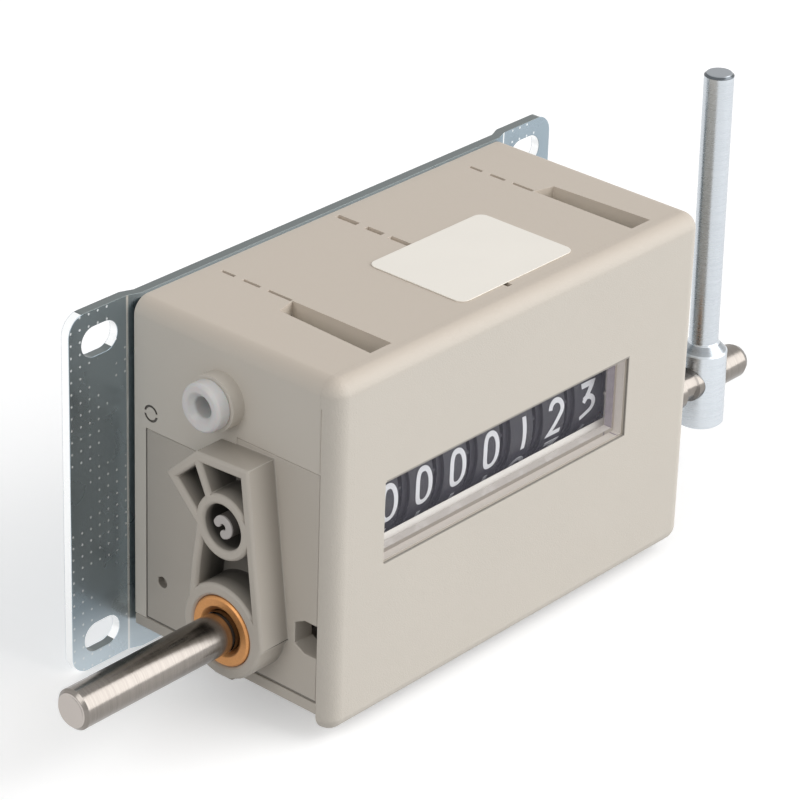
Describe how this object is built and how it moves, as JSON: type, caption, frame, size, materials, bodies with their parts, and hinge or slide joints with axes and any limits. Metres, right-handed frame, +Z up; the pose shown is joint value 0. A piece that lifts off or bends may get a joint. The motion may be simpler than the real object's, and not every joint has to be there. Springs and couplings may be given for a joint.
{
  "type": "mechanical stroke counter",
  "caption": "Boxed mechanical counter with digit drums behind a window, a rocking drive shaft with a lever, side bracket and a flanged plate with slotted holes.",
  "frame": {"origin": "centre of the mounting plate's back face, between its four slots", "axes": "+X runs along the drive shaft towards the lever, +Y points out of the mounting plate's back, -Y is the front with the window, +Z is up"},
  "size_m": [0.145, 0.0398, 0.0653],
  "materials": {
    "zinc_sheet": "bright zinc-plated sheet steel",
    "zinc_screw": "zinc-plated steel",
    "body_beige": "warm light grey moulding, fine texture on the front",
    "body_grey": "slightly darker grey moulding",
    "mask_light": "light moulding",
    "lens_clear": "clear polished plastic",
    "label_cream": "cream film, no print",
    "nylon_white": "white nylon",
    "bush_bronze": "sintered bronze",
    "shaft_steel": "polished nickel-coloured steel",
    "spring_steel": "bright spring steel",
    "lever_zinc": "bright zinc, turned",
    "mech_steel": "stamped steel",
    "pinion_plastic": "white acetal",
    "drum_black": "black moulding with white digits"
  },
  "bodies": {
    "housing": {"mounting_plate": "zinc_sheet", "plate_screws": "zinc_screw", "base_frame": "body_grey", "housing_hood": "body_beige", "left_side_plate": "body_grey", "right_side_plate": "body_grey", "window_lens": "lens_clear", "drum_mask": "mask_light", "label_sticker": "label_cream", "side_bush": "nylon_white", "shaft_bush_left": "bush_bronze", "shaft_bush_right": "bush_bronze", "drum_axle": "shaft_steel", "axle_end_clip": "mask_light", "pinion_axle": "shaft_steel", "detent_spring": "spring_steel", "detent_screw": "zinc_screw", "return_spring": "spring_steel"},
    "drive": {"drive_shaft": "shaft_steel", "shaft_clips": "spring_steel", "lever": "lever_zinc", "lever_clamp_screw": "zinc_screw", "drive_sector": "mech_steel", "sector_pin": "shaft_steel"},
    "rocker": {"pawl_rocker": "mech_steel", "pawl_pin": "shaft_steel"},
    "pawl": {"drive_pawl": "mech_steel"},
    "units": {"units_drum": "drum_black", "ratchet_wheel": "pinion_plastic"},
    "tens": {"tens_drum": "drum_black"},
    "hundreds": {"hundreds_drum": "drum_black"},
    "thousands": {"thousands_drum": "drum_black"},
    "ten_thousands": {"ten_thousands_drum": "drum_black"},
    "hundred_thousands": {"hundred_thousands_drum": "drum_black"},
    "millions": {"millions_drum": "drum_black"},
    "pinion_1": {"transfer_pinion_1": "pinion_plastic"},
    "pinion_2": {"transfer_pinion_2": "pinion_plastic"},
    "pinion_3": {"transfer_pinion_3": "pinion_plastic"},
    "pinion_4": {"transfer_pinion_4": "pinion_plastic"},
    "pinion_5": {"transfer_pinion_5": "pinion_plastic"},
    "pinion_6": {"transfer_pinion_6": "pinion_plastic"}
  },
  "joints": [
    {"name": "lever_swing", "type": "hinge", "parent": "housing", "child": "drive", "pos_m": [0, -0.0241, -0.0136], "axis": [1, 0, 0], "range_deg": [0, 45], "stiffness_Nm_per_rad": 0.03, "springref_deg": -17.19, "deforming": ["return_spring"]},
    {"name": "rocker_swing", "type": "hinge", "parent": "housing", "child": "rocker", "pos_m": [0, -0.0241, 0.0026], "axis": [1, 0, 0], "range_deg": [-45, 0]},
    {"name": "pawl_lift", "type": "hinge", "parent": "rocker", "child": "pawl", "pos_m": [0.0263, -0.02515, 0.01455], "axis": [1, 0, 0], "range_deg": [0, 12], "stiffness_Nm_per_rad": 0.0002, "springref_deg": -20.05},
    {"name": "units_spin", "type": "hinge", "parent": "housing", "child": "units", "pos_m": [0, -0.0241, 0.0026], "axis": [1, 0, 0], "continuous": true},
    {"name": "tens_spin", "type": "hinge", "parent": "housing", "child": "tens", "pos_m": [0, -0.0241, 0.0026], "axis": [1, 0, 0], "continuous": true},
    {"name": "hundreds_spin", "type": "hinge", "parent": "housing", "child": "hundreds", "pos_m": [0, -0.0241, 0.0026], "axis": [1, 0, 0], "continuous": true},
    {"name": "thousands_spin", "type": "hinge", "parent": "housing", "child": "thousands", "pos_m": [0, -0.0241, 0.0026], "axis": [1, 0, 0], "continuous": true},
    {"name": "ten_thousands_spin", "type": "hinge", "parent": "housing", "child": "ten_thousands", "pos_m": [0, -0.0241, 0.0026], "axis": [1, 0, 0], "continuous": true},
    {"name": "hundred_thousands_spin", "type": "hinge", "parent": "housing", "child": "hundred_thousands", "pos_m": [0, -0.0241, 0.0026], "axis": [1, 0, 0], "continuous": true},
    {"name": "millions_spin", "type": "hinge", "parent": "housing", "child": "millions", "pos_m": [0, -0.0241, 0.0026], "axis": [1, 0, 0], "continuous": true},
    {"name": "pinion_1_spin", "type": "hinge", "parent": "housing", "child": "pinion_1", "pos_m": [0, -0.01337, 0.0116], "axis": [1, 0, 0], "continuous": true},
    {"name": "pinion_2_spin", "type": "hinge", "parent": "housing", "child": "pinion_2", "pos_m": [0, -0.01337, 0.0116], "axis": [1, 0, 0], "continuous": true},
    {"name": "pinion_3_spin", "type": "hinge", "parent": "housing", "child": "pinion_3", "pos_m": [0, -0.01337, 0.0116], "axis": [1, 0, 0], "continuous": true},
    {"name": "pinion_4_spin", "type": "hinge", "parent": "housing", "child": "pinion_4", "pos_m": [0, -0.01337, 0.0116], "axis": [1, 0, 0], "continuous": true},
    {"name": "pinion_5_spin", "type": "hinge", "parent": "housing", "child": "pinion_5", "pos_m": [0, -0.01337, 0.0116], "axis": [1, 0, 0], "continuous": true},
    {"name": "pinion_6_spin", "type": "hinge", "parent": "housing", "child": "pinion_6", "pos_m": [0, -0.01337, 0.0116], "axis": [1, 0, 0], "continuous": true}
  ],
  "couplings": [
    {"joint": "rocker_swing", "follows": "lever_swing", "ratio": -1},
    {"joint": "tens_spin", "follows": "units_spin", "ratio": 0.1},
    {"joint": "hundreds_spin", "follows": "units_spin", "ratio": 0.01},
    {"joint": "thousands_spin", "follows": "units_spin", "ratio": 0.001},
    {"joint": "ten_thousands_spin", "follows": "units_spin", "ratio": 0.0001},
    {"joint": "hundred_thousands_spin", "follows": "units_spin", "ratio": 0.00001},
    {"joint": "millions_spin", "follows": "units_spin", "ratio": 0.000001},
    {"joint": "pinion_1_spin", "follows": "units_spin", "ratio": -0.25},
    {"joint": "pinion_2_spin", "follows": "units_spin", "ratio": -0.025},
    {"joint": "pinion_3_spin", "follows": "units_spin", "ratio": -0.0025},
    {"joint": "pinion_4_spin", "follows": "units_spin", "ratio": -0.00025},
    {"joint": "pinion_5_spin", "follows": "units_spin", "ratio": -0.000025},
    {"joint": "pinion_6_spin", "follows": "units_spin", "ratio": -0.0000025}
  ]
}
